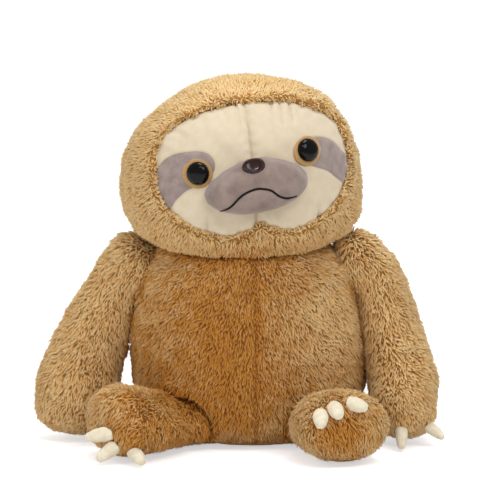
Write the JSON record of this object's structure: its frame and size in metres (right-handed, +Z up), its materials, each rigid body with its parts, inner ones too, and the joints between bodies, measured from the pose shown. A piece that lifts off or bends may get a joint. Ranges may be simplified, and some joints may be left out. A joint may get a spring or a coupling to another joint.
{
  "type": "plush sloth",
  "caption": "Seated plush sloth with long-pile fur covers, a flat pale face, a domed muzzle, plastic eyes and nose, and soft claws on its hands and feet.",
  "frame": {"origin": "middle of the flat seat under the torso, on the surface that the toy sits on", "axes": "+Z up, the toy faces -Y, +X towards its own left"},
  "size_m": [0.4237, 0.2931, 0.377],
  "materials": {
    "fur": "long pile, matte",
    "cream": "short pile, matte",
    "mauve": "short pile, matte",
    "amber": "felt, matte",
    "black": "glossy",
    "nose": "glossy",
    "thread": "twisted thread",
    "claw": "smooth knit, matte",
    "stuffing": "loose fibre",
    "washer": "satin"
  },
  "bodies": {
    "torso": {"torso_cover": "fur", "torso_stuffing": "stuffing"},
    "head": {"head_cover": "fur", "head_stuffing": "stuffing", "face_left": "cream", "face_right": "cream", "left_eye_patch": "mauve", "left_eye": "black", "left_eye_ring": "amber", "left_eye_washer": "washer", "right_eye_patch": "mauve", "right_eye": "black", "right_eye_ring": "amber", "right_eye_washer": "washer", "muzzle_cover": "mauve", "muzzle_stuffing": "stuffing", "mouth_thread": "thread", "nose": "nose", "nose_washer": "washer"},
    "left_arm": {"left_arm_cover": "fur", "left_arm_stuffing": "stuffing", "left_hand_claw_inner": "claw", "left_hand_claw_middle": "claw", "left_hand_claw_outer": "claw"},
    "left_leg": {"left_leg_cover": "fur", "left_leg_stuffing": "stuffing", "left_foot_claw_inner": "claw", "left_foot_claw_middle": "claw", "left_foot_claw_outer": "claw"},
    "right_arm": {"right_arm_cover": "fur", "right_arm_stuffing": "stuffing", "right_hand_claw_inner": "claw", "right_hand_claw_middle": "claw", "right_hand_claw_outer": "claw"},
    "right_leg": {"right_leg_cover": "fur", "right_leg_stuffing": "stuffing", "right_foot_claw_inner": "claw", "right_foot_claw_middle": "claw", "right_foot_claw_outer": "claw"}
  },
  "joints": [
    {"name": "neck_turn", "type": "hinge", "parent": "torso", "child": "head", "pos_m": [-0.01, -0.006, 0.197], "axis": [0, 0, 1], "range_deg": [-35, 20]},
    {"name": "left_shoulder_lift", "type": "hinge", "parent": "torso", "child": "left_arm", "pos_m": [0.119, 0, 0.18], "axis": [0, -1, 0], "range_deg": [0, 80]},
    {"name": "right_shoulder_lift", "type": "hinge", "parent": "torso", "child": "right_arm", "pos_m": [-0.119, 0, 0.172], "axis": [0, 1, 0], "range_deg": [0, 80]},
    {"name": "left_hip_swing", "type": "hinge", "parent": "torso", "child": "left_leg", "pos_m": [0.062, -0.066, 0.031], "axis": [0, 0, 1], "range_deg": [-25, 0]},
    {"name": "right_hip_swing", "type": "hinge", "parent": "torso", "child": "right_leg", "pos_m": [-0.062, -0.066, 0.031], "axis": [0, 0, 1], "range_deg": [0, 45]}
  ]
}
